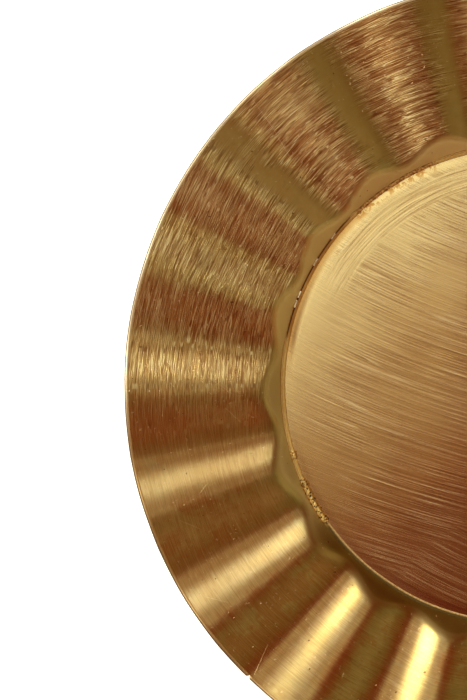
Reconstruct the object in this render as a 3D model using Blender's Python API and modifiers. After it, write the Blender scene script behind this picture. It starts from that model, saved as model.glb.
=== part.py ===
"""A round brass tray with a fluted rim, soldered together from sheet and wire. Metres, +Z up.

The tray stands on its well: the origin is the centre of the ring that it rests on, at table height.
Four pieces make it: the fluted rim sheet, which turns down into the well's wall and in again to a
narrow ledge, the floor disc that lies on that ledge, the solder fillet that joins the disc's edge
to the wall, and the round wire that trims the rim's outer edge.
"""

import math

import bpy

# Driving dimensions
FLUTES = 20
OUTER_RADIUS = 0.1650
SHEET = 0.0012
WIRE_RADIUS = 0.0008
FIT_GAP = 0.0003
CREST_ANGLE = math.radians(181.2)
JOINT_ANGLE = math.radians(226.0)

# The well: the ledge's inner edge, the corner where the wall starts, and the crease where it ends
LEDGE_INNER_RADIUS = 0.0920
CORNER_RADIUS = 0.0998
CREASE_RADIUS = 0.1053
WALL_SLOPE = math.tan(math.radians(58.0))
LEDGE_TOP = SHEET
CREASE_HEIGHT = LEDGE_TOP + (CREASE_RADIUS - CORNER_RADIUS) * WALL_SLOPE

# The rounding of the crease: how far it reaches to each side, and how much it takes off the top
BEND_REACH = 0.0016
BEND_DROP = 0.0005

# The rim: its mean slope, how far a crest rises above the mean at the crease and at the edge, and
# how far the edge draws in at a crest
RIM_SLOPE = math.tan(math.radians(17.0))
CREASE_WAVE = 0.0026
EDGE_WAVE = 0.0034
EDGE_RIPPLE = 0.00025
WIRE_LINE_RADIUS = OUTER_RADIUS - WIRE_RADIUS - EDGE_RIPPLE
SHEET_EDGE_RADIUS = WIRE_LINE_RADIUS - WIRE_RADIUS - FIT_GAP

# The floor disc, and the solder fillet in the corner between its edge and the wall
DISC_RADIUS = 0.0988
DISC_BEVEL = 0.0003
DISC_BOTTOM = LEDGE_TOP + FIT_GAP
FLOOR_TOP = DISC_BOTTOM + SHEET
FILLET_LIP = FLOOR_TOP + 0.0002
FILLET_TOP = FLOOR_TOP + 0.0013
FILLET_SAG = 0.0003

# Facets
SHEET_STEPS = FLUTES * 10
DISC_STEPS = 120
WIRE_POINTS = FLUTES * 8 + 1
WIRE_JOINT_GAP = 0.0005

SMOOTH_ANGLE = math.radians(35.0)

RIM_BRASS = (0.60, 0.38, 0.13, 1.0)
FLOOR_BRASS = (0.64, 0.43, 0.18, 1.0)
WIRE_BRASS = (0.78, 0.58, 0.26, 1.0)
SOLDER_GOLD = (0.55, 0.32, 0.08, 1.0)


def clear_scene():
    """Starts from nothing, so that the script gives the same result in any file."""
    for obj in list(bpy.data.objects):
        bpy.data.objects.remove(obj)


def metal(name, colour, roughness):
    """A Principled metal."""
    material = bpy.data.materials.new(name)
    material.use_nodes = True
    shader = material.node_tree.nodes["Principled BSDF"]
    shader.inputs["Base Color"].default_value = colour
    shader.inputs["Roughness"].default_value = roughness
    shader.inputs["Metallic"].default_value = 1.0
    return material


def crest(angle):
    """1 on a flute's crest, -1 in its trough."""
    return math.cos(FLUTES * (angle - CREST_ANGLE))


def share(radius, start, end):
    """How far radius lies between start and end, from 0 to 1."""
    return min(1.0, max(0.0, (radius - start) / (end - start)))


def rim_height(radius, angle):
    """Height of the fluted rim's upper face: a shallow cone, with a wave that grows outwards."""
    along = (radius - CREASE_RADIUS) / (WIRE_LINE_RADIUS - CREASE_RADIUS)
    wave = CREASE_WAVE + (EDGE_WAVE - CREASE_WAVE) * along
    return CREASE_HEIGHT + (radius - CREASE_RADIUS) * RIM_SLOPE + wave * crest(angle)


def sheet_height(radius, angle):
    """Height of the sheet's upper face: the ledge, the wall's cone and the rim, the crease rounded."""
    wall = LEDGE_TOP + (radius - CORNER_RADIUS) * WALL_SLOPE
    rim = rim_height(radius, angle)
    lap = max(0.0, 4 * BEND_DROP - abs(wall - rim))
    return max(LEDGE_TOP, min(wall, rim) - lap * lap / (16 * BEND_DROP))


def fluted(radius, angle):
    """Where a point of the plain turned sheet goes once the rim is fluted: radius and height.

    A crest meets the wall's cone further out than a trough does, so the crease runs in scallops.
    """
    crease_shift = CREASE_WAVE * crest(angle) / (WALL_SLOPE - RIM_SLOPE)
    rising = share(radius, CORNER_RADIUS, CREASE_RADIUS - BEND_REACH)
    fading = share(radius, CREASE_RADIUS + BEND_REACH, SHEET_EDGE_RADIUS)
    moved = radius + crease_shift * (rising - fading) - EDGE_RIPPLE * crest(angle) * fading
    return moved, sheet_height(moved, angle)


def wall_side(height):
    """Radius at which the fillet stands clear of the wall, at the given height."""
    clearance = FIT_GAP * math.hypot(1.0, WALL_SLOPE) / WALL_SLOPE
    return CORNER_RADIUS + (height - LEDGE_TOP) / WALL_SLOPE - clearance


def link(obj, collection, material):
    """Moves the object to the tray's collection and gives it its material."""
    for old in obj.users_collection:
        old.objects.unlink(obj)
    collection.objects.link(obj)
    obj.data.materials.clear()
    obj.data.materials.append(material)


def turned(name, profile, closed, steps):
    """A profile in the XZ plane, turned round Z by a Screw modifier."""
    mesh = bpy.data.meshes.new(name)
    edges = [(i, i + 1) for i in range(len(profile) - 1)]
    if closed:
        edges.append((len(profile) - 1, 0))
    mesh.from_pydata([(radius, 0.0, height) for radius, height in profile], edges, [])
    obj = bpy.data.objects.new(name, mesh)
    bpy.context.scene.collection.objects.link(obj)
    screw = obj.modifiers.new("Turn", "SCREW")
    screw.steps = steps
    screw.render_steps = steps
    screw.use_merge_vertices = True
    screw.merge_threshold = 0.00001
    return obj


def realised(obj):
    """Puts the modifiers' result into the object's own mesh."""
    bpy.context.view_layer.update()
    graph = bpy.context.evaluated_depsgraph_get()
    obj.data = bpy.data.meshes.new_from_object(obj.evaluated_get(graph))
    obj.modifiers.clear()
    return obj


def make_fluted_rim(collection, material):
    """The rim, the well's wall and the ledge: one sheet, turned plain and then fluted."""
    rows = [
        LEDGE_INNER_RADIUS,
        CORNER_RADIUS,
        CREASE_RADIUS - BEND_REACH,
        CREASE_RADIUS - BEND_REACH / 3,
        CREASE_RADIUS + BEND_REACH / 3,
        CREASE_RADIUS + BEND_REACH,
        SHEET_EDGE_RADIUS,
    ]
    rim = realised(turned("fluted_rim", [(row, LEDGE_TOP) for row in rows], False, SHEET_STEPS))
    for vertex in rim.data.vertices:
        angle = math.atan2(vertex.co.y, vertex.co.x)
        radius, height = fluted(vertex.co.xy.length, angle)
        vertex.co = (radius * math.cos(angle), radius * math.sin(angle), height)
    solidify = rim.modifiers.new("Sheet", "SOLIDIFY")
    solidify.thickness = SHEET
    solidify.offset = -1.0
    solidify.use_even_offset = True
    rim.data.shade_smooth()
    rim.data.set_sharp_from_angle(angle=SMOOTH_ANGLE)
    link(rim, collection, material)


def make_floor_disc(collection, material):
    """The flat disc that closes the well, with its edge deburred."""
    bpy.ops.mesh.primitive_cylinder_add(
        vertices=DISC_STEPS,
        radius=DISC_RADIUS,
        depth=SHEET,
        location=(0.0, 0.0, DISC_BOTTOM + SHEET / 2),
    )
    disc = bpy.context.active_object
    disc.name = "floor_disc"
    bevel = disc.modifiers.new("Deburred edge", "BEVEL")
    bevel.width = DISC_BEVEL
    bevel.segments = 1
    disc.data.shade_smooth()
    disc.data.set_sharp_from_angle(angle=SMOOTH_ANGLE)
    link(disc, collection, material)


def make_solder_fillet(collection, material):
    """The ring of solder that fills the corner between the disc's edge and the wall, its face hollow."""
    foot = DISC_RADIUS + FIT_GAP
    hollow_radius = (foot + wall_side(FILLET_TOP)) / 2 + FILLET_SAG
    hollow_height = (FILLET_LIP + FILLET_TOP) / 2 - FILLET_SAG
    profile = [
        (wall_side(FILLET_TOP), FILLET_TOP),
        (wall_side(DISC_BOTTOM), DISC_BOTTOM),
        (foot, DISC_BOTTOM),
        (foot, FILLET_LIP),
        (hollow_radius, hollow_height),
    ]
    fillet = turned("solder_fillet", profile, True, DISC_STEPS)
    fillet.data.shade_smooth()
    link(fillet, collection, material)


def make_edge_wire(collection, material):
    """The round wire round the rim's edge. It follows the flutes, and its two ends nearly meet."""
    curve = bpy.data.curves.new("edge_wire", "CURVE")
    curve.dimensions = "3D"
    curve.bevel_depth = WIRE_RADIUS
    curve.bevel_resolution = 2
    curve.use_fill_caps = True
    spline = curve.splines.new("POLY")
    spline.points.add(WIRE_POINTS - 1)
    half_gap = WIRE_JOINT_GAP / 2 / WIRE_LINE_RADIUS
    sweep = 2 * math.pi - 2 * half_gap
    for i, point in enumerate(spline.points):
        angle = JOINT_ANGLE + half_gap + sweep * i / (WIRE_POINTS - 1)
        radius = WIRE_LINE_RADIUS - EDGE_RIPPLE * crest(angle)
        height = rim_height(radius, angle) - SHEET / 2
        point.co = (radius * math.cos(angle), radius * math.sin(angle), height, 1.0)
    wire = bpy.data.objects.new("edge_wire", curve)
    bpy.context.scene.collection.objects.link(wire)
    link(wire, collection, material)


def main():
    clear_scene()
    tray = bpy.data.collections.new("fluted_brass_tray")
    bpy.context.scene.collection.children.link(tray)
    make_fluted_rim(tray, metal("rim_brass", RIM_BRASS, 0.32))
    make_floor_disc(tray, metal("floor_brass", FLOOR_BRASS, 0.38))
    make_solder_fillet(tray, metal("solder", SOLDER_GOLD, 0.5))
    make_edge_wire(tray, metal("wire_brass", WIRE_BRASS, 0.2))


main()
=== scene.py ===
"""A round brass tray with a fluted rim, seen straight from above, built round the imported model.

Lengths are in millimetres until a mesh is made. Sectors of the tray are given in degrees,
counter-clockwise from +X, and an array called angle holds radians.
"""

import math

import bmesh
import bpy
import numpy as np
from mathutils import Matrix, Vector, noise


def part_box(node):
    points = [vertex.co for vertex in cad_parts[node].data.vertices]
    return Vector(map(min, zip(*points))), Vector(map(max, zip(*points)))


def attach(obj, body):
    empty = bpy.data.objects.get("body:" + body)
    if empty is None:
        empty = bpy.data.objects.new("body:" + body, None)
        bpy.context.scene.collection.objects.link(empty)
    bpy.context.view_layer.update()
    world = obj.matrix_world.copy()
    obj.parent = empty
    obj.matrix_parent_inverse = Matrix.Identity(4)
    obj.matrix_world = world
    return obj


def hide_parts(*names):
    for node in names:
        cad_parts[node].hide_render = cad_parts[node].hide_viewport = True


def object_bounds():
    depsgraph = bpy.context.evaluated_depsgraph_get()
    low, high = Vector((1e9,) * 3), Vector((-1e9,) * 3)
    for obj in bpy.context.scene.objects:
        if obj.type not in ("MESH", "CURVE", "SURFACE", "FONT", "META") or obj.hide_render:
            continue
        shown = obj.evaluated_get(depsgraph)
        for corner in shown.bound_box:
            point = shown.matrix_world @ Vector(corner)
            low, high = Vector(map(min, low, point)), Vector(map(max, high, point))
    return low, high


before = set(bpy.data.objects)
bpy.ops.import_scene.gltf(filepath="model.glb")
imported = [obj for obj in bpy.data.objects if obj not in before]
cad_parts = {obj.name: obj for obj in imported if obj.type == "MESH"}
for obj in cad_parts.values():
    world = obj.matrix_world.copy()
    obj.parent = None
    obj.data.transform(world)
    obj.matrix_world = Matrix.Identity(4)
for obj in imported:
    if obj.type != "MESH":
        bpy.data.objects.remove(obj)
CAD_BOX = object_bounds()

MM = 0.001
TAU = 2 * math.pi

# The tray's sizes. Those that a CAD node's box gives are read from it.
FLUTES = 20
CREST_ANGLE = math.radians(181.2)
JOINT_ANGLE = math.radians(226.0)
JOINT_GAP = 0.6
SHEET = 1.2
WIRE_RADIUS = 0.8
OUTER_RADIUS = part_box("edge_wire")[1].x / MM
DISC_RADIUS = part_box("floor_disc")[1].x / MM
FLOOR_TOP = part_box("floor_disc")[1].z / MM
LEDGE_TOP = SHEET
LEDGE_INNER = 92.0
CORNER = 99.8
CREASE = 105.3
WALL_SLOPE = math.tan(math.radians(58.0))
RIM_SLOPE = math.tan(math.radians(17.0))
CREASE_HEIGHT = LEDGE_TOP + (CREASE - CORNER) * WALL_SLOPE

# How far a crest rises above the rim's mean at the crease and at the edge, how far it pushes the
# crease outwards, and how far it draws the edge in
CREASE_WAVE = 2.6
EDGE_WAVE = 3.3
CREASE_SCALLOP = CREASE_WAVE / (WALL_SLOPE - RIM_SLOPE)
EDGE_RIPPLE = 0.25

# The wire's centre line. The box's side is near a crest, where the edge is drawn in by most of
# the ripple. The sheet's edge runs a little into the wire, where the two are soldered.
SHEET_IN_WIRE = 0.3
WIRE_LINE = OUTER_RADIUS - WIRE_RADIUS + 0.75 * EDGE_RIPPLE
SHEET_EDGE = WIRE_LINE - WIRE_RADIUS + SHEET_IN_WIRE

# The two bends of the sheet: where the corner's starts and ends, how much each takes off the
# corner, how far the crease's reaches to each side, and where on the wall it may start
CORNER_BEND = (99.0, 100.6)
CORNER_DROP = 0.10
CREASE_REACH = 3.7
CREASE_BEND_START = 101.0

# How far the floor lies below the CAD disc's top, to leave room for its dents, and how much thinner
# than the sheet it is, to stay clear of the ledge
FLOOR_SINK = 0.12
FLOOR_THINNER = 0.3

# The solder seam: how far its foot overlaps the floor's edge and lies below the CAD disc's top, how
# far its head runs into the wall, and how thick it is at the head (half of that at the foot)
SEAM_OVERLAP = 0.15
SEAM_FOOT_DEPTH = 0.42
SEAM_IN_WALL = 0.12
SEAM_BACK = 0.5

# How fine the meshes are
RIM_COLUMNS = FLUTES * 48
FLOOR_COLUMNS = 360
WIRE_RINGS = 1440
WIRE_SIDES = 14
SEAM_COLUMNS = 2400
SEAM_ROWS = 14
SHEET_SHARP = math.radians(40.0)
SEAM_SHARP = math.radians(60.0)

# The bright beads on the seam's crack, in degrees: where each is, and how far its raised ramp and
# its pale gold, partly a painted glint, reach to each side
BEADS = ((141.8, 0.85, 0.7), (149.2, 1.15, 0.9), (157.8, 0.9, 0.7), (160.2, 1.1, 0.8))

# The longer scratches on the rim: the angle and radius of both ends, and half their width
RIM_SCRATCHES = (
    ((134.0, 162.0), (134.6, 149.0), 0.20),
    ((134.6, 149.0), (136.0, 135.0), 0.16),
    ((226.4, 162.5), (224.8, 150.0), 0.12),
    ((198.0, 141.0), (197.0, 137.5), 0.10),
    ((178.4, 131.0), (181.5, 121.0), 0.16),
    ((184.2, 124.0), (187.4, 118.0), 0.14),
    ((201.0, 152.0), (203.5, 146.0), 0.16),
    ((213.0, 157.0), (215.5, 151.0), 0.18),
)

# What the brushing circles round
TRAY_CENTRE = (0, 0)
ARC_CENTRE = (90, 363)
SWEEP_CENTRE = (39, 60)

# Separates the noise of one seed from that of the next, in the shapes and in the brushing
SEED_STEP = (17.3, 5.1, 9.7)
STREAK_STEP = 13.7

# The studio, in metres but for the lens, which is in millimetres: the floor's size and how far it
# lies below the tray, and the camera's place from the tray's middle and its height
GROUND_SIZE = 6.0
GROUND_GAP = 0.0002
LENS = 109.75
CAMERA_OFFSET = (-0.1204, 0.0147)
CAMERA_HEIGHT = 0.893


# ---------------------------------------------------------------- helpers for meshes


def smooth_step(value, start, end):
    """0 before start, 1 after end, eased between; start may be the larger."""
    t = np.clip((value - start) / (end - start), 0.0, 1.0)
    return t * t * (3 - 2 * t)


def turn_distance(angle, centre):
    """Signed turn from centre, in degrees, to angle: from -180 to 180 degrees."""
    return (np.degrees(angle) - centre + 180.0) % 360.0 - 180.0


def between(angle, start, end, soft):
    """1 from start to end, fading over soft degrees beyond each."""
    half = (end - start) / 2
    return smooth_step(np.abs(turn_distance(angle, start + half)), half + soft, half)


def wander(angle, seed, waves):
    """A smooth closed wandering value round the circle, of about -1 to 1."""
    total = np.zeros_like(angle)
    draw = np.random.RandomState(seed)
    for count in waves:
        total += draw.uniform(0.4, 1.0) * np.sin(count * angle + draw.uniform(0, TAU))
    usual_reach = 0.98 * len(waves) ** 0.5
    return total / usual_reach


def noise_field(x, y, z, size, seed):
    """Smooth 3D noise of about -1 to 1 with the given feature size."""
    shift = Vector([seed * step for step in SEED_STEP])
    flat = zip(x.ravel(), y.ravel(), z.ravel())
    values = [noise.noise(Vector(p) / size + shift) for p in flat]
    return np.array(values).reshape(x.shape)


def noise_layers(x, y, z, *layers):
    """A sum of noises, each given by its feature size, seed and height."""
    return sum(noise_field(x, y, z, size, seed) * height for size, seed, height in layers)


def noise_round(angle, per_degree, seed):
    """Noise that changes only round the tray, with about so many features to a degree."""
    level = np.zeros_like(angle)
    return noise_field(np.degrees(angle) * per_degree, level, level, 1.0, seed)


def spaced(start, end, parts):
    """Rows at the given parts of the way from start to end, which may differ round the circle."""
    return [start + (end - start) * part for part in parts]


def polar_points(radius, angle, height):
    """Points from polar coordinates."""
    return np.stack([radius * np.cos(angle), radius * np.sin(angle), height], axis=-1)


def grid_mesh(name, points, closed_rows=False):
    """A mesh from an array of points (rows, columns, 3). Each row closes on itself."""
    rows, columns = points.shape[:2]
    lower = np.arange(rows * columns).reshape(rows, columns)
    upper = np.roll(lower, -1, axis=0)
    if not closed_rows:
        lower, upper = lower[:-1], upper[:-1]
    right = np.roll(np.stack([lower, upper]), -1, axis=2)
    quads = np.stack([lower, upper, right[1], right[0]], axis=-1)
    mesh = bpy.data.meshes.new(name)
    mesh.from_pydata((points.reshape(-1, 3) * MM).tolist(), [], quads.reshape(-1, 4).tolist())
    mesh.shade_smooth()
    return mesh


def close_mesh(mesh, loops=(), outwards=True):
    """Puts a face on each loop of vertices and, if asked, points all faces outwards."""
    build = bmesh.new()
    build.from_mesh(mesh)
    build.verts.ensure_lookup_table()
    for loop in loops:
        build.faces.new([build.verts[i] for i in loop])
    if outwards:
        bmesh.ops.recalc_face_normals(build, faces=build.faces)
    build.to_mesh(mesh)
    build.free()


def add_object(name, data):
    """Links a new object with the mesh, light or camera to the scene."""
    obj = bpy.data.objects.new(name, data)
    bpy.context.scene.collection.objects.link(obj)
    return obj


def thicken(obj, thickness):
    """Gives a sheet its thickness below, and keeps the new edges crisp."""
    solidify = obj.modifiers.new("Sheet", "SOLIDIFY")
    solidify.thickness = thickness * MM
    solidify.offset = -1.0
    solidify.use_even_offset = True
    bpy.context.view_layer.update()
    graph = bpy.context.evaluated_depsgraph_get()
    obj.data = bpy.data.meshes.new_from_object(obj.evaluated_get(graph))
    obj.modifiers.clear()
    obj.data.shade_smooth()
    obj.data.set_sharp_from_angle(angle=SHEET_SHARP)


# ---------------------------------------------------------------- the shape


def crest(angle):
    """1 on a flute's crest, -1 in its trough, with each flute a little out of step."""
    lag = np.radians(0.35) * wander(angle, 3, (2, 3, 7, 11))
    return np.cos(FLUTES * (angle + lag - CREST_ANGLE))


def flute_depth(angle):
    """How deep the flutes are round the rim, near 1: they were not hammered evenly."""
    return 1.0 + 0.035 * wander(angle, 11, (3, 4, 7, 9))


def wall_height(radius):
    """The well's wall: a steep cone."""
    return LEDGE_TOP + (radius - CORNER) * WALL_SLOPE


def rim_height(radius, angle):
    """The fluted rim's upper face: a shallow cone, with a wave that grows outwards."""
    along = (radius - CREASE) / (WIRE_LINE - CREASE)
    wave = CREASE_WAVE + (EDGE_WAVE - CREASE_WAVE) * along
    cone = CREASE_HEIGHT + (radius - CREASE) * RIM_SLOPE
    return cone + wave * flute_depth(angle) * crest(angle)


def soft_min(a, b, drop):
    """The smaller of two heights, rounded where they cross by taking drop off the corner."""
    lap = np.maximum(0.0, 4 * drop - np.abs(a - b))
    return np.minimum(a, b) - lap * lap / (16 * drop)


def sheet_height(radius, angle):
    """The sheet's upper face: the ledge, the wall and the rim, with both bends rounded.

    The crease is softer in the lower left and round the bottom.
    """
    crease_drop = 0.65 + 0.50 * between(angle, 200.0, 290.0, 15.0)
    bent = soft_min(wall_height(radius), rim_height(radius, angle), crease_drop)
    ledge = np.full_like(bent, LEDGE_TOP)
    return -soft_min(-ledge, -bent, CORNER_DROP)


def make_rim():
    """The rim, the wall and the ledge: one hammered sheet, with its rows close in the two bends."""
    angle = np.linspace(0, TAU, RIM_COLUMNS, endpoint=False)
    crease = CREASE + CREASE_SCALLOP * flute_depth(angle) * crest(angle)
    bend_start = np.maximum(crease - CREASE_REACH, CREASE_BEND_START)
    bend_end = crease + CREASE_REACH
    outer = SHEET_EDGE - EDGE_RIPPLE * crest(angle)
    rows = spaced(LEDGE_INNER, CORNER_BEND[0], [0, 0.35, 0.7])
    rows += spaced(*CORNER_BEND, np.arange(8) / 8)
    rows += spaced(CORNER_BEND[1], bend_start, [0, 0.5])
    rows += spaced(bend_start, bend_end, np.arange(16) / 16)
    rows += spaced(bend_end, outer, np.linspace(0, 1, 32))
    radius = np.stack([np.broadcast_to(row, angle.shape) for row in rows])
    angle = np.broadcast_to(angle, radius.shape)
    height = sheet_height(radius, angle)
    x, y = radius * np.cos(angle), radius * np.sin(angle)
    hammered = noise_layers(x, y, height, (17.0, 1, 0.26), (7.0, 2, 0.06))
    hammered = hammered * (0.45 + 0.55 * between(angle, 85.0, 172.0, 18.0))
    hammered = hammered * smooth_step(radius, 101.5, 110.0) * smooth_step(radius, SHEET_EDGE, 158.0)
    points = polar_points(radius, angle, height + hammered)
    rim = add_object("rim_sheet", grid_mesh("rim_sheet", points))
    thicken(rim, SHEET)
    return rim


def make_floor():
    """The well's floor: a disc with shallow dents, whose edge dips most along the seam's crack."""
    rows = np.concatenate([
        [0.4, 2.0, 5.0],
        np.linspace(10.0, 90.0, 27),
        np.linspace(91.0, DISC_RADIUS, 17),
    ])
    angle = np.linspace(0, TAU, FLOOR_COLUMNS, endpoint=False)
    radius, angle = np.meshgrid(rows, angle, indexing="ij")
    x, y = radius * np.cos(angle), radius * np.sin(angle)
    dents = noise_layers(x, y, np.zeros_like(x), (46.0, 5, 0.14), (15.0, 6, 0.03))
    dents = dents * smooth_step(radius, DISC_RADIUS, 84.0)
    dip = 0.10 + 0.16 * between(angle, 138.0, 168.0, 8.0) + 0.1 * wander(angle, 21, (1, 2, 3, 5, 8))
    dip = dip * smooth_step(radius, DISC_RADIUS - 4.2, DISC_RADIUS) ** 1.5
    height = FLOOR_TOP - FLOOR_SINK + dents - dip
    mesh = grid_mesh("floor_sheet", polar_points(radius, angle, height))
    close_mesh(mesh, [range(FLOOR_COLUMNS)], outwards=False)
    floor = add_object("floor_sheet", mesh)
    thicken(floor, SHEET - FLOOR_THINNER)
    return floor


def make_wire():
    """The wire round the edge, worn thinner from outside in places, with its two ends' joint."""
    half_gap = JOINT_GAP / 2 / WIRE_LINE
    along = JOINT_ANGLE + half_gap + (TAU - 2 * half_gap) * np.linspace(0, 1, WIRE_RINGS)
    around = np.linspace(0, TAU, WIRE_SIDES, endpoint=False)
    angle, turn = np.meshgrid(along, around, indexing="ij")
    from_end = np.degrees(np.minimum(angle - along[0], along[-1] - angle))
    girth = WIRE_RADIUS * (1.0 - 0.05 * np.abs(wander(angle, 31, (9, 14, 23, 37))))
    girth = girth * (0.55 + 0.45 * smooth_step(from_end, 0.0, 0.25))
    line = WIRE_LINE - EDGE_RIPPLE * crest(angle)
    radius = line - (WIRE_RADIUS - girth) + girth * np.cos(turn)
    height = rim_height(line, angle) - SHEET / 2 + girth * np.sin(turn)
    mesh = grid_mesh("edge_bead", polar_points(radius, angle, height))
    last_ring = (WIRE_RINGS - 1) * WIRE_SIDES
    ends = [reversed(range(WIRE_SIDES)), range(last_ring, last_ring + WIRE_SIDES)]
    close_mesh(mesh, ends)
    return add_object("edge_bead", mesh)


def bead_ramps(angle):
    """Heights of the bright beads on the crack, each a small ramp that faces the upper light."""
    total = np.zeros_like(angle)
    for centre, half, _ in BEADS:
        along = turn_distance(angle, centre) / half
        total += np.where(np.abs(along) < 1, (along + 1) * half * 0.62, 0.0)
    return total


def solder_tongues(angle):
    """0 to 1.3: how far the solder's ragged foot runs out, in clumps of narrow tongues."""
    tongues = noise_round(angle, 1.1, 12) + 0.5 * noise_round(angle, 3.1, 13) + 0.1
    clumps = 0.6 + 1.3 * noise_round(angle, 0.35, 14)
    return np.clip(tongues, 0, 1) * np.clip(clumps, 0.05, 1.3)


def make_fillet():
    """The solder seam: a thin line with residue, a crack, a porous place and a narrow stretch.

    Its face runs from the foot, on the floor's edge, to the head, on the wall.
    """
    share = np.linspace(0, 1, SEAM_ROWS)
    angle = np.linspace(0, TAU, SEAM_COLUMNS, endpoint=False)
    share, angle = np.meshgrid(share, angle, indexing="ij")
    residue = between(angle, 113.0, 132.0, 2.5)
    crack = between(angle, 138.0, 167.0, 4.0)
    porous = between(angle, 204.0, 214.0, 2.0) + 0.7 * between(angle, 196.4, 197.6, 0.8)
    narrow = between(angle, 217.0, 262.0, 3.0)
    tongues = solder_tongues(angle)
    uneven = 0.10 * wander(angle, 41, (5, 9, 17, 26))

    # The residue's and the porous place's tongues run out over the floor
    overrun = 3.2 * residue * tongues + 1.5 * porous * (0.5 + tongues)
    foot = DISC_RADIUS - SEAM_OVERLAP + uneven - overrun
    foot_height = FLOOR_TOP - SEAM_FOOT_DEPTH
    raised = 0.25 + uneven + 0.35 * porous
    lowered = 0.3 * crack + 0.75 * narrow + 0.62 * residue
    head_height = FLOOR_TOP + raised - lowered
    head = CORNER + (head_height - LEDGE_TOP) / WALL_SLOPE + SEAM_IN_WALL
    radius = foot + (head - foot) * share

    # Its face swells between them, rough and pitted where it is porous, with the bright beads
    swell = 0.36 + 0.35 * porous + 0.20 * narrow - 0.05 * crack - 0.22 * residue
    swell = swell * np.sin(np.clip(share * (1 + narrow), 0, 1) * math.pi) ** 0.8
    height = foot_height + (head_height - foot_height) * share + swell
    x, y = radius * np.cos(angle), radius * np.sin(angle)
    rough = noise_layers(x, y, height, (0.9, 7, 0.16), (2.6, 8, 0.10)) * (0.35 + 1.6 * porous)
    pits = np.clip(noise_field(x, y, height, 0.9, 9) - 0.12, 0, 1) * 2.4 * porous
    height = height + np.sin(share * math.pi) * (rough - pits)
    bead_rows = smooth_step(share, 0.45, 0.6) * smooth_step(share, 1.0, 0.9)
    height = height + bead_ramps(angle) * bead_rows

    back = polar_points(head[-1:], angle[-1:], height[-1:] - SEAM_BACK)
    under = polar_points(foot[:1], angle[:1], height[:1] - SEAM_BACK / 2)
    points = np.concatenate([polar_points(radius, angle, height), back, under])
    mesh = grid_mesh("solder_seam", points, closed_rows=True)
    seam = add_object("solder_seam", mesh)
    close_mesh(mesh)
    mesh.set_sharp_from_angle(angle=SEAM_SHARP)
    return seam


# ---------------------------------------------------------------- colours


def rgb(red, green, blue):
    """An opaque colour."""
    return (red, green, blue, 1.0)


# The rim's brass, from plain to tarnished, with a red that is partly painted shade
DEEP_GOLD = rgb(0.80, 0.62, 0.26)
PALE_GOLD = rgb(0.90, 0.75, 0.36)
CLOUDED_GOLD = rgb(0.72, 0.53, 0.21)
TROUGH_BROWN = rgb(0.62, 0.34, 0.11)
RED_TARNISH_AND_SHADE = rgb(0.76, 0.40, 0.15)
OLIVE = rgb(0.70, 0.64, 0.30)
BRUSHED_BROWN = rgb(0.52, 0.34, 0.12)
TARNISHED = rgb(0.50, 0.27, 0.10)

# Its brush marks
BRIGHT_MARK = rgb(1.0, 0.90, 0.46)
DULL_MARK = rgb(0.40, 0.16, 0.045)
BRIGHT_HAIR = rgb(1.0, 0.93, 0.55)
DARK_HAIR = rgb(0.30, 0.12, 0.035)

# The wall and its painted shade, the painted shade along and towards the crease, and small marks
WALL_GOLD = rgb(1.0, 0.87, 0.46)
WALL_SHADE = rgb(0.36, 0.26, 0.05)
CREASE_SHADE_OLIVE = rgb(0.36, 0.29, 0.10)
FADE_SHADE_OLIVE = rgb(0.40, 0.32, 0.11)
NICK_BRASS = rgb(1.0, 0.84, 0.56)
PIT_BROWN = rgb(0.22, 0.09, 0.03)

# The floor: each pair is the two ends of its cloudy variation. Its gold, middling and brown run
# from the upper left to the lower right, partly as painted shade
FLOOR_GOLD = (rgb(0.86, 0.72, 0.39), rgb(0.92, 0.78, 0.45))
FLOOR_MIDDLING = (rgb(0.61, 0.40, 0.165), rgb(0.68, 0.46, 0.20))
FLOOR_BROWN_AND_SHADE = (rgb(0.47, 0.22, 0.095), rgb(0.54, 0.27, 0.12))
FLOOR_PALE_MARK = rgb(1.0, 0.86, 0.55)
FLOOR_BRIGHT_LINE = rgb(1.0, 0.88, 0.58)
FLOOR_DARK_MARK = rgb(0.40, 0.22, 0.09)
AMBER = rgb(0.54, 0.29, 0.08)
RESIDUE_BROWN = rgb(0.50, 0.24, 0.05)

# The wire: its pale gold, partly a painted highlight, and its painted shade along the lower left
# and on its outer and lower sides
WIRE_GOLD_AND_HIGHLIGHT = (rgb(0.96, 0.84, 0.56), rgb(1.0, 0.94, 0.76))
WIRE_SHADED = rgb(0.66, 0.46, 0.22)
WIRE_SHADE = rgb(0.10, 0.06, 0.025)

# The solder, with painted shade in the gap by the wall and beside the ridge, and the beads' pale
# gold partly a painted glint
SOLDER_GOLD = (rgb(0.98, 0.68, 0.22), rgb(1.0, 0.80, 0.32))
SOLDER_EDGE = rgb(0.46, 0.22, 0.035)
SOLDER_BURNT = (rgb(0.98, 0.66, 0.26), rgb(0.42, 0.20, 0.045))
SOLDER_BY_CRACK = rgb(0.70, 0.38, 0.09)
SOLDER_GAP_SHADE = rgb(0.07, 0.025, 0.006)
SOLDER_HOLE = rgb(0.05, 0.02, 0.006)
RIDGE_GOLD = (rgb(0.66, 0.46, 0.18), rgb(0.92, 0.74, 0.42))
RIDGE_SHADE = rgb(0.16, 0.11, 0.035)
BEAD_GLINT_GOLD = rgb(1.0, 0.95, 0.76)

# The studio's surround and paper
DARK_RED = rgb(0.175, 0.032, 0.009)
DARK_OLIVE = rgb(0.18, 0.13, 0.045)
WARM_GREY = rgb(0.85, 0.76, 0.48)
LOW_GOLD = rgb(1.2, 1.0, 0.62)
SIDE_WHITE = rgb(2.3, 2.1, 1.65)
TOP_WHITE = rgb(1.70, 1.58, 1.10)
BACKDROP = rgb(0.95, 0.945, 0.93)
PALE_PAPER = rgb(0.90, 0.90, 0.90)
WHITE = rgb(1.0, 1.0, 1.0)


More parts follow.
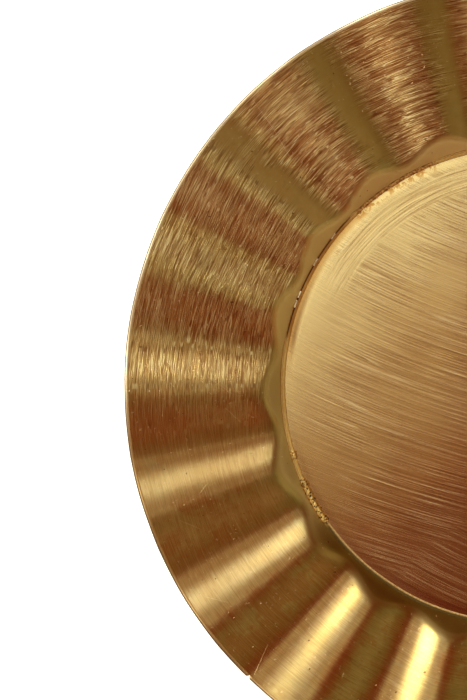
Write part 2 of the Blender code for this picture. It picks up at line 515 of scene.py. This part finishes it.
# ---------------------------------------------------------------- helpers for materials


def on_tray(degrees, radius):
    """A point of the tray's plane from its angle and radius."""
    return (radius * math.cos(math.radians(degrees)), radius * math.sin(math.radians(degrees)))


class Graph:
    """A material's or world's nodes, made with short calls.

    A value may be a number, a tuple or another node's socket.
    """

    def __init__(self, owner):
        owner.use_nodes = True
        self.owner = owner
        self.tree = owner.node_tree

    def put(self, socket, value):
        """Links a socket to the input, or sets its value."""
        if isinstance(value, bpy.types.NodeSocket):
            self.tree.links.new(value, socket)
        else:
            socket.default_value = value

    def node(self, kind, *values, **settings):
        """A node with its settings, and with the values on its first inputs."""
        node = self.tree.nodes.new(kind)
        for name, setting in settings.items():
            setattr(node, name, setting)
        for socket, value in zip(node.inputs, values):
            self.put(socket, value)
        return node

    def math(self, operation, *values, clamp=False):
        """One step of arithmetic."""
        node = self.node("ShaderNodeMath", *values, operation=operation, use_clamp=clamp)
        return node.outputs[0]

    def product(self, first, *others):
        """Everything multiplied together."""
        for value in others:
            first = self.math("MULTIPLY", first, value)
        return first

    def most(self, first, *others):
        """The largest of the values."""
        for value in others:
            first = self.math("MAXIMUM", first, value)
        return first

    def plus(self, base, share, amount):
        """base, and share times amount more."""
        return self.math("MULTIPLY_ADD", share, amount, base)

    def rest(self, share):
        """What share leaves of 1."""
        return self.math("SUBTRACT", 1.0, share)

    def vector(self, operation, *values):
        """One step of vector arithmetic, with a vector as its result."""
        return self.node("ShaderNodeVectorMath", *values, operation=operation).outputs[0]

    def scaled(self, vector, factor):
        """The vector times a number."""
        node = self.node("ShaderNodeVectorMath", vector, operation="SCALE")
        self.put(node.inputs["Scale"], factor)
        return node.outputs[0]

    def length(self, vector):
        """The vector's length."""
        return self.node("ShaderNodeVectorMath", vector, operation="LENGTH").outputs["Value"]

    def dot(self, first, second):
        """The dot product of two vectors."""
        node = self.node("ShaderNodeVectorMath", first, second, operation="DOT_PRODUCT")
        return node.outputs["Value"]

    def split(self, vector):
        """The vector's three parts."""
        return self.node("ShaderNodeSeparateXYZ", vector).outputs

    def join(self, x, y, z):
        """A vector from three parts."""
        return self.node("ShaderNodeCombineXYZ", x, y, z).outputs[0]

    def place(self):
        """Object coordinates in millimetres."""
        return self.scaled(self.node("ShaderNodeTexCoord").outputs["Object"], 1 / MM)

    def normal(self):
        """The surface's own direction."""
        return self.node("ShaderNodeNewGeometry").outputs["Normal"]

    def noise(self, vector, scale=1.0, detail=2.0, rough=0.5):
        """Noise round 0.5, with scale features to a millimetre."""
        node = self.node("ShaderNodeTexNoise", vector)
        node.inputs["Scale"].default_value = scale
        node.inputs["Detail"].default_value = detail
        node.inputs["Roughness"].default_value = rough
        return node.outputs[0]

    def ramp(self, value, low, high, to_low=0.0, to_high=1.0):
        """Eases from to_low to to_high as value goes from low to high; low may be the larger."""
        node = self.node(
            "ShaderNodeMapRange", value, low, high, to_low, to_high, interpolation_type="SMOOTHSTEP"
        )
        return node.outputs[0]

    def blend(self, share, first, second):
        """A number between first and second."""
        node = self.node("ShaderNodeMix", share, data_type="FLOAT")
        self.put(node.inputs[2], first)
        self.put(node.inputs[3], second)
        return node.outputs[0]

    def mix(self, share, first, second):
        """A colour between first and second."""
        node = self.node("ShaderNodeMix", share, data_type="RGBA")
        self.put(node.inputs[6], first)
        self.put(node.inputs[7], second)
        return node.outputs[2]

    def paint(self, colour, share, paint, strength):
        """Lays paint over the colour, by share times strength."""
        return self.mix(self.product(share, strength), colour, paint)

    def bump(self, height, distance):
        """The normal that the height gives, with distance as how high a height of 1 stands."""
        node = self.node("ShaderNodeBump")
        node.inputs["Distance"].default_value = distance * MM
        self.put(node.inputs["Height"], height)
        return node.outputs[0]

    def polar(self, place, centre=TRAY_CENTRE):
        """Unit vector away from centre in the tray's plane, and the distance from it."""
        parts = self.split(place)
        away = self.vector("SUBTRACT", self.join(parts[0], parts[1], 0.0), (*centre, 0.0))
        return self.vector("NORMALIZE", away), self.length(away)

    def sector(self, away, start, end, soft):
        """1 from start to end degrees round the tray, fading over soft degrees beyond each."""
        half = (end - start) / 2
        nearness = self.dot(away, (*on_tray(start + half, 1.0), 0.0))
        faded = math.cos(math.radians(half + soft))
        return self.ramp(nearness, faded, math.cos(math.radians(half)))

    def band(self, value, centre, half_width, soft):
        """1 where value is within half_width of centre."""
        off = self.math("ABSOLUTE", self.math("SUBTRACT", value, centre))
        return self.ramp(off, half_width + soft, half_width)

    def streaks(self, place, centre, around, across, seed, detail=2.0, slant=None):
        """Noise drawn out along circles round centre: around per radian, across per millimetre."""
        away, distance = self.polar(place, centre)
        if slant is not None:
            distance = self.math("ADD", distance, slant)
        parts = self.split(away)
        x = self.product(parts[0], around)
        y = self.product(parts[1], around)
        z = self.plus(seed * STREAK_STEP, distance, across)
        return self.noise(self.join(x, y, z), 1.0, detail, 0.55)

    def hairlines(self, streaks, half_width):
        """Thin lines where streaks cross their middle value."""
        off = self.math("ABSOLUTE", self.math("SUBTRACT", streaks, 0.5))
        return self.ramp(off, half_width, half_width * 0.25)

    def stroke(self, place, start, end, half_width):
        """1 along a straight scratch from start to end."""
        run = Vector((end[0] - start[0], end[1] - start[1], 0.0))
        flat = self.vector("MULTIPLY", place, (1.0, 1.0, 0.0))
        from_start = self.vector("SUBTRACT", flat, (*start, 0.0))
        along = self.dot(from_start, run / run.length_squared)
        along = self.math("MULTIPLY", along, 1.0, clamp=True)
        gap = self.length(self.vector("SUBTRACT", from_start, self.scaled(run, along)))
        return self.ramp(gap, half_width, half_width * 0.3)

    def finish(self, **values):
        """Puts the values on the Principled shader and returns the material."""
        names = {
            "colour": "Base Color",
            "metallic": "Metallic",
            "roughness": "Roughness",
            "anisotropic": "Anisotropic",
            "tangent": "Tangent",
            "normal": "Normal",
            "glow_colour": "Emission Color",
            "glow": "Emission Strength",
        }
        shader = self.tree.nodes["Principled BSDF"]
        for key, value in values.items():
            self.put(shader.inputs[names[key]], value)
        return self.owner


# ---------------------------------------------------------------- the materials


def rim_material():
    """Brass brushed round the tray, most in the upper left, with red and olive tarnished patches,
    the red partly painted shade, and painted shade on the wall and by the crease.
    """
    g = Graph(bpy.data.materials.new("brushed_rim_brass"))
    place = g.place()
    away, distance = g.polar(place)
    parts = g.split(away)
    turn = g.math("ARCTAN2", parts[1], parts[0])
    phase = g.plus(-FLUTES * CREST_ANGLE, turn, FLUTES)
    flute = g.math("COSINE", phase)
    beyond = g.math("SUBTRACT", distance, g.plus(CREASE, flute, CREASE_SCALLOP))
    patches = g.noise(place, 0.06, 4.0, 0.65)
    cloud = g.noise(place, 0.017, 2.0)
    tint = g.noise(g.vector("ADD", place, (31.0, 7.0, 3.0)), 0.045, 4.0, 0.7)

    # Where the brushing covers the brass: not by the crease, nor on patches of the flutes' bare
    # sides, and it is fainter outside the upper left
    upper_left = g.sector(away, 86.0, 170.0, 24.0)
    bare_side = g.ramp(g.math("COSINE", g.math("ADD", phase, math.radians(96))), 0.45, 0.97)
    bare = g.product(bare_side, g.sector(away, 96.0, 144.0, 8.0), g.ramp(patches, 0.30, 0.52))
    bare = g.most(bare, g.ramp(beyond, 2.6, 0.8))
    brushed = g.rest(bare)
    coverage = g.product(brushed, g.ramp(upper_left, 0.0, 1.0, 0.26, 1.0))

    # The brush marks, broad and fine, and the bright and dark hairlines among them
    wobble = g.product(g.noise(place, 0.012, 1.0), 14.0)
    coarse = g.streaks(place, TRAY_CENTRE, 9.0, 2.3, seed=1, detail=3.0, slant=wobble)
    fine = g.streaks(place, TRAY_CENTRE, 16.0, 4.2, seed=2, slant=wobble)
    bright_lines = g.streaks(place, TRAY_CENTRE, 8.0, 1.6, seed=4, detail=0.0, slant=wobble)
    dark_lines = g.streaks(place, TRAY_CENTRE, 10.0, 1.6, seed=5, detail=0.0, slant=wobble)
    scratch = g.math("ADD", g.product(coarse, 0.5), g.product(fine, 0.5))
    hair = g.product(g.hairlines(bright_lines, 0.042), coverage)
    dark_hair = g.product(g.hairlines(dark_lines, 0.06), coverage)
    bright = g.product(g.ramp(scratch, 0.49, 0.62), coverage)
    dull = g.product(g.ramp(scratch, 0.50, 0.38), coverage)
    grain = g.product(g.noise(place, 0.8, 3.0), g.product(brushed, upper_left))

    # The brass under the brushing, duller in the troughs, with red and olive tarnished patches; the
    # red is strongest on the flutes' sides away from the lights, which is painted shade
    shaded_flute_side = g.ramp(g.math("COSINE", g.math("ADD", phase, math.radians(104))), 0.35, -0.25)
    # Red tarnishing, laid on most where the flutes face away from the lights, as painted shade
    red_tarnish_and_shade = g.product(g.ramp(tint, 0.45, 0.57), g.plus(0.15, shaded_flute_side, 0.65))
    gold = g.mix(g.ramp(patches, 0.3, 0.7), DEEP_GOLD, PALE_GOLD)
    gold = g.paint(gold, g.ramp(cloud, 0.4, 0.65), CLOUDED_GOLD, 0.5)
    gold = g.paint(gold, g.ramp(flute, -0.2, -0.9), TROUGH_BROWN, 0.45)
    # Red tarnishing laid on, partly painted shade
    gold = g.mix(red_tarnish_and_shade, gold, RED_TARNISH_AND_SHADE)
    gold = g.paint(gold, g.ramp(tint, 0.43, 0.32), OLIVE, 0.6)
    gold = g.paint(gold, coverage, BRUSHED_BROWN, 0.22)
    gold = g.paint(gold, g.sector(away, 108.0, 118.0, 7.0), TARNISHED, 0.45)

    # The marks' own colours
    colour = g.paint(gold, bright, BRIGHT_MARK, 0.95)
    colour = g.paint(colour, dull, DULL_MARK, 0.68)
    colour = g.paint(colour, hair, BRIGHT_HAIR, 0.95)
    colour = g.paint(colour, dark_hair, DARK_HAIR, 0.60)

    # The wall, with painted shade on its stretch round the bottom, then painted shade along the
    # crease and painted shade fading the lower left's highlights towards it
    shaded_wall = g.sector(away, 222.0, 302.0, 14.0)
    wall = g.mix(shaded_wall, WALL_GOLD, WALL_SHADE)
    crease_shade = g.band(beyond, 0.4, 0.2, 2.0)
    fading = g.product(g.ramp(beyond, 8.0, 1.0), g.sector(away, 180.0, 268.0, 16.0))
    colour = g.mix(g.ramp(beyond, 0.2, -1.2), colour, wall)
    # Painted shade along the crease
    colour = g.paint(colour, crease_shade, CREASE_SHADE_OLIVE, g.blend(shaded_wall, 0.35, 0.50))
    # Painted shade that fades the lower left's highlights towards the crease
    colour = g.paint(colour, fading, FADE_SHADE_OLIVE, 0.5)

    # Scratches, specks and pits
    scratches = [
        g.product(g.stroke(place, on_tray(*start), on_tray(*end), half), 0.65)
        for start, end, half in RIM_SCRATCHES
    ]
    specks = g.product(g.ramp(g.noise(place, 0.9, 0.0), 0.79, 0.81), g.ramp(tint, 0.40, 0.55))
    nicks = g.most(*scratches, specks)
    pits = g.ramp(g.noise(g.vector("ADD", place, (57.0, 0.0, 0.0)), 0.6, 0.0), 0.855, 0.88)
    colour = g.paint(colour, nicks, NICK_BRASS, 0.75)
    colour = g.paint(colour, pits, PIT_BROWN, 0.8)

    height = g.plus(g.product(scratch, coverage), hair, 0.16)
    height = g.plus(height, grain, 0.12)
    height = g.plus(height, dark_hair, -0.10)
    height = g.plus(height, g.most(nicks, pits), -0.4)
    rougher = g.product(g.most(hair, g.product(bright, 0.3)), 0.8)
    roughness = g.blend(rougher, g.plus(0.28, fine, 0.10), 0.50)
    roughness = g.blend(g.ramp(beyond, 2.6, 0.8), roughness, 0.34)
    matt_wall = g.product(g.ramp(beyond, 1.5, -0.6), g.rest(shaded_wall))
    return g.finish(
        colour=colour,
        metallic=g.plus(1.0, matt_wall, -0.45),
        roughness=roughness,
        anisotropic=0.72,
        tangent=away,
        normal=g.bump(height, 0.13),
    )


def floor_material():
    """Brass brushed in long arcs, golden in the upper left and browner towards the lower right,
    partly as painted shade.
    """
    g = Graph(bpy.data.materials.new("brushed_floor_brass"))
    place = g.place()
    away, distance = g.polar(place)

    # The brushing: long arcs, other sweeps across them in the lower right, and rings near the edge
    wobble = g.product(g.noise(place, 0.006, 0.0), 8.0)

    def lines(centre, around, across, seed, half_width):
        """Hairlines along circles round centre."""
        streaks = g.streaks(place, centre, around, across, seed, detail=0.0, slant=wobble)
        return g.hairlines(streaks, half_width)

    sweep_area = g.ramp(g.dot(place, (0.55, -0.83, 0.0)), 26.0, 46.0)
    ring_area = g.product(g.ramp(distance, 82.0, 86.0), g.ramp(distance, 95.5, 92.0))
    ring_area = g.product(ring_area, g.sector(away, 98.0, 146.0, 14.0))
    long_arcs = g.streaks(place, ARC_CENTRE, 6.0, 1.0, seed=1, detail=3.0, slant=wobble)
    fine_arcs = g.streaks(place, ARC_CENTRE, 14.0, 2.6, seed=2, detail=1.0, slant=wobble)
    arcs = g.math("ADD", g.product(long_arcs, 0.45), g.product(fine_arcs, 0.55))
    bright_arcs = lines(ARC_CENTRE, 4.0, 0.80, 5, 0.045)
    dark_arcs = lines(ARC_CENTRE, 4.5, 0.90, 6, 0.05)
    sweeps = g.streaks(place, SWEEP_CENTRE, 3.0, 0.9, seed=3, detail=4.0, slant=wobble)
    bright_sweeps = lines(SWEEP_CENTRE, 1.3, 0.75, 7, 0.05)
    dark_sweeps = lines(SWEEP_CENTRE, 1.5, 0.80, 8, 0.05)
    rings = g.streaks(place, TRAY_CENTRE, 3.2, 1.1, seed=4, detail=3.0)
    ring_lines = g.hairlines(g.streaks(place, TRAY_CENTRE, 3.0, 0.45, seed=9, detail=1.0), 0.06)
    scratch = g.blend(ring_area, g.blend(sweep_area, arcs, sweeps), rings)
    shine = g.blend(ring_area, g.blend(sweep_area, bright_arcs, bright_sweeps), 0.0)
    groove = g.blend(sweep_area, dark_arcs, dark_sweeps)
    groove = g.blend(ring_area, groove, g.product(ring_lines, 0.45))

    # How strong the marks are: weaker towards the edge, from further in on the worn left
    worn_left = g.sector(away, 157.0, 217.0, 16.0)
    by_edge = g.ramp(distance, 98.0, 93.0, 0.3, 1.0)
    by_worn_edge = g.ramp(distance, 97.0, 72.0, 0.25, 1.0)
    marking = g.blend(worn_left, by_edge, by_worn_edge)
    marking = g.product(marking, g.ramp(g.noise(place, 0.035, 3.0), 0.35, 0.62, 0.45, 1.0))

    # The brass, from the upper left to the lower right, partly its own tone and partly a painted
    # reflection that darkens towards the lower right, and its marks
    cloud = g.noise(place, 0.02, 3.0, 0.6)
    across = g.math("ADD", g.dot(place, (0.62, -0.78, 0.0)), g.plus(-30.0, cloud, 60.0))
    gold = g.mix(cloud, *FLOOR_GOLD)
    middling = g.mix(cloud, *FLOOR_MIDDLING)
    brown = g.mix(cloud, *FLOOR_BROWN_AND_SHADE)
    dark_strength = g.product(marking, 0.42)
    bright_marks = g.ramp(scratch, 0.50, 0.62)
    dark_marks = g.ramp(scratch, 0.50, 0.38)
    # Painted reflection and tone: gold in the upper left to brown in the lower right
    colour = g.mix(g.ramp(across, -88.0, -20.0), gold, middling)
    colour = g.mix(g.ramp(across, -32.0, 20.0), colour, brown)
    colour = g.paint(colour, bright_marks, FLOOR_PALE_MARK, g.product(marking, 0.5))
    colour = g.paint(colour, dark_marks, FLOOR_DARK_MARK, dark_strength)
    colour = g.paint(colour, shine, FLOOR_BRIGHT_LINE, g.product(marking, 0.65))
    colour = g.paint(colour, groove, FLOOR_DARK_MARK, dark_strength)

    # Amber along the crack, strongest at the floor's edge, and burnt residue beside the seam
    amber = g.product(g.ramp(distance, 94.8, 98.8), g.sector(away, 139.0, 167.0, 12.0))
    residue = g.product(g.ramp(distance, 95.2, 98.0), g.sector(away, 113.0, 133.0, 3.0))
    residue = g.product(residue, g.ramp(g.noise(place, 0.50, 3.0, 0.6), 0.47, 0.55))
    colour = g.paint(colour, amber, AMBER, 0.85)
    colour = g.paint(colour, residue, RESIDUE_BROWN, 0.85)

    height = g.plus(g.plus(scratch, groove, -0.14), shine, 0.12)
    return g.finish(
        colour=colour,
        metallic=1.0,
        roughness=g.plus(0.17, scratch, 0.14),
        anisotropic=0.5,
        tangent=g.join(0.30, 0.95, 0.0),
        normal=g.bump(g.product(height, marking), 0.06),
    )


def wire_material():
    """Pale brass, partly a painted highlight, with painted shade along the lower left and on the
    sides that face outwards and down.
    """
    g = Graph(bpy.data.materials.new("worn_wire_brass"))
    place = g.place()
    away, _ = g.polar(place)
    normal = g.normal()
    cloud = g.ramp(g.noise(place, 0.08, 3.0, 0.6), 0.3, 0.6)
    grain = g.noise(place, 1.6, 2.0)
    shaded_lower_left = g.sector(away, 192.0, 252.0, 12.0)
    # Painted shade on the sides that face outwards, reaching further in along the lower left, and
    # on the sides that face down
    outside = g.ramp(g.dot(normal, away), g.blend(shaded_lower_left, 0.34, 0.10), g.blend(shaded_lower_left, 0.54, 0.32))
    outer_and_lower_shade = g.most(outside, g.ramp(g.split(normal)[2], 0.2, 0.0))
    # Pale gold, partly a painted highlight, with painted shade along the lower left
    colour = g.mix(cloud, *WIRE_GOLD_AND_HIGHLIGHT)
    colour = g.mix(shaded_lower_left, colour, WIRE_SHADED)
    return g.finish(
        colour=g.mix(outer_and_lower_shade, colour, WIRE_SHADE),
        metallic=g.plus(0.6, outer_and_lower_shade, -0.5),
        roughness=g.blend(outer_and_lower_shade, g.plus(0.34, grain, 0.2), 0.85),
        normal=g.bump(grain, 0.03),
    )


def solder_material():
    """Golden solder with brown edges, and the residue, crack, holes and thin ridge of the seam,
    with painted shade in a gap by the wall and a painted glint on the beads.
    """
    g = Graph(bpy.data.materials.new("solder"))
    place = g.place()
    away, distance = g.polar(place)
    grain = g.noise(place, 1.1, 4.0, 0.6)
    fine = g.noise(place, 3.5, 2.0)
    residue = g.sector(away, 113.0, 132.0, 3.0)
    crack = g.sector(away, 138.0, 166.0, 4.0)
    narrow = g.sector(away, 217.0, 263.0, 3.0)

    edges = g.rest(g.band(distance, 99.85, 0.66, 0.30))
    burnt = g.mix(g.ramp(grain, 0.60, 0.42), *SOLDER_BURNT)
    colour = g.mix(g.ramp(grain, 0.40, 0.60), *SOLDER_GOLD)
    colour = g.paint(colour, edges, SOLDER_EDGE, 0.95)
    colour = g.mix(residue, colour, burnt)
    colour = g.paint(colour, crack, SOLDER_BY_CRACK, 0.7)

    # The painted shade of a gap by the wall, darkest along the crack, and the porous stretch's
    # holes
    gap = g.product(g.band(distance, 100.25, 0.14, 0.22), g.ramp(crack, 0.0, 1.0, 0.35, 1.0))
    gap = g.product(gap, g.rest(g.sector(away, 216.0, 264.0, 3.0)))
    holes = g.product(
        g.sector(away, 203.5, 214.5, 2.0), g.ramp(g.noise(place, 0.9, 2.0), 0.54, 0.62)
    )
    colour = g.mix(gap, colour, SOLDER_GAP_SHADE)
    colour = g.mix(holes, colour, SOLDER_HOLE)

    # The narrow stretch: a pale ridge beside the floor, and shade between it and the wall
    ridge = g.mix(g.ramp(grain, 0.40, 0.62), *RIDGE_GOLD)
    ridge = g.mix(g.ramp(distance, 99.35, 99.75), ridge, RIDGE_SHADE)
    colour = g.mix(narrow, colour, ridge)

    # The beads' pale gold is partly a painted glint; their ramps face the upper light
    spots = [g.sector(away, centre - half, centre + half, 0.25) for centre, _, half in BEADS]
    bead = g.product(g.most(*spots), g.band(distance, 100.55, 0.40, 0.25))
    dull = g.product(g.most(gap, holes), g.rest(bead))
    shiny = g.most(bead, g.product(residue, 0.8))
    return g.finish(
        colour=g.mix(bead, colour, BEAD_GLINT_GOLD),
        metallic=g.most(shiny, 0.15),
        roughness=g.blend(dull, g.plus(0.20, fine, 0.3), 0.9),
        normal=g.bump(g.math("ADD", grain, fine), 0.07),
    )


# ---------------------------------------------------------------- the studio


def make_sky():
    """A graded surround that the brass mirrors, and a plain pale one behind the tray."""
    world = bpy.data.worlds.new("studio")
    bpy.context.scene.world = world
    g = Graph(world)
    direction = g.node("ShaderNodeTexCoord").outputs["Generated"]
    up = g.split(direction)[2]

    def glow(towards, low, high, first, second, strength, ceiling=None):
        """Blends second over first where the sky lies towards, and below ceiling if given."""
        nearness = g.dot(direction, Vector(towards).normalized())
        share = g.ramp(nearness, low, high, 0.0, strength)
        if ceiling:
            share = g.product(share, g.ramp(up, *ceiling))
        return g.mix(share, first, second)

    sky = glow((0.9, -0.05, 0.45), 0.78, 0.97, DARK_RED, DARK_OLIVE, 1.0)
    sky = glow((-0.1, 0.80, 0.60), 0.70, 0.97, sky, WARM_GREY, 0.32)
    sky = glow((0.60, -0.80, 0.0), 0.05, 0.45, sky, LOW_GOLD, 1.0, (0.28, 0.14))
    sky = glow((-1.0, 0.10, 0.34), 0.70, 0.88, sky, SIDE_WHITE, 1.0)
    sky = glow((0.0, 0.16, 0.987), 0.975, 0.9975, sky, TOP_WHITE, 1.0)
    from_camera = g.node("ShaderNodeLightPath").outputs["Is Camera Ray"]
    seen = g.mix(from_camera, sky, BACKDROP)
    g.put(g.tree.nodes["Background"].inputs["Color"], seen)


def make_softbox(name, middle, direction, distance, size, energy, colour):
    """A rectangular light that looks at the tray's middle from the given direction."""
    data = bpy.data.lights.new(name, "AREA")
    data.shape = "RECTANGLE"
    data.size, data.size_y = size
    data.energy = energy
    data.color = colour
    lamp = add_object(name, data)
    lamp.location = middle + Vector(direction).normalized() * distance
    lamp.rotation_euler = (middle - lamp.location).to_track_quat("-Z", "Y").to_euler()


def make_ground(middle):
    """A pale studio floor just under the tray."""
    height = CAD_BOX[0].z - GROUND_GAP
    bpy.ops.mesh.primitive_plane_add(size=GROUND_SIZE, location=(middle.x, middle.y, height))
    ground = bpy.context.active_object
    ground.name = "studio_floor"
    paper = Graph(bpy.data.materials.new("pale_paper"))
    paper.finish(colour=PALE_PAPER, roughness=0.9, glow_colour=WHITE, glow=0.75)
    ground.data.materials.append(paper.owner)


def make_camera(middle):
    """Looks straight down, over the tray's left side."""
    lens = bpy.data.cameras.new("camera")
    lens.lens = LENS
    lens.sensor_width = 36.0
    lens.sensor_fit = "AUTO"
    lens.clip_start = 0.01
    camera = add_object("camera", lens)
    x, y = CAMERA_OFFSET
    camera.location = (middle.x + x, middle.y + y, CAMERA_HEIGHT)
    bpy.context.scene.camera = camera


def make_studio():
    """The surround, three soft lights at the top and the upper left, the floor and the camera."""
    view = bpy.context.scene.view_settings
    view.view_transform = "Standard"
    view.look = "None"
    middle = (CAD_BOX[0] + CAD_BOX[1]) / 2
    make_sky()
    # Each light's name, direction, distance, size, power and colour
    for name, direction, distance, size, energy, colour in (
        ("key", (-0.02, 0.735, 0.675), 1.3, (0.24, 0.22), 0.42, (0.92, 0.96, 1.15)),
        ("between", (-0.47, 0.66, 0.58), 1.4, (0.5, 0.4), 5.6, (0.96, 0.93, 0.66)),
        ("side", (-0.76, 0.543, 0.357), 1.6, (0.9, 0.5), 10.2, (0.99, 0.90, 0.60)),
    ):
        make_softbox(name, middle, direction, distance, size, energy, colour)
    make_ground(middle)
    make_camera(middle)


# ---------------------------------------------------------------- putting it together

# How each piece is made and dressed, the CAD node it stands for, and that node's material slot
PIECES = (
    (make_rim, rim_material, "fluted_rim", "rim_brass"),
    (make_floor, floor_material, "floor_disc", "floor_brass"),
    (make_fillet, solder_material, "solder_fillet", "solder"),
    (make_wire, wire_material, "edge_wire", "wire_brass"),
)

for make, dress, node, slot in PIECES:
    piece = make()
    piece.data.materials.clear()
    piece.data.materials.append(dress())
    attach(piece, "root")
    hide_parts(node)

make_studio()
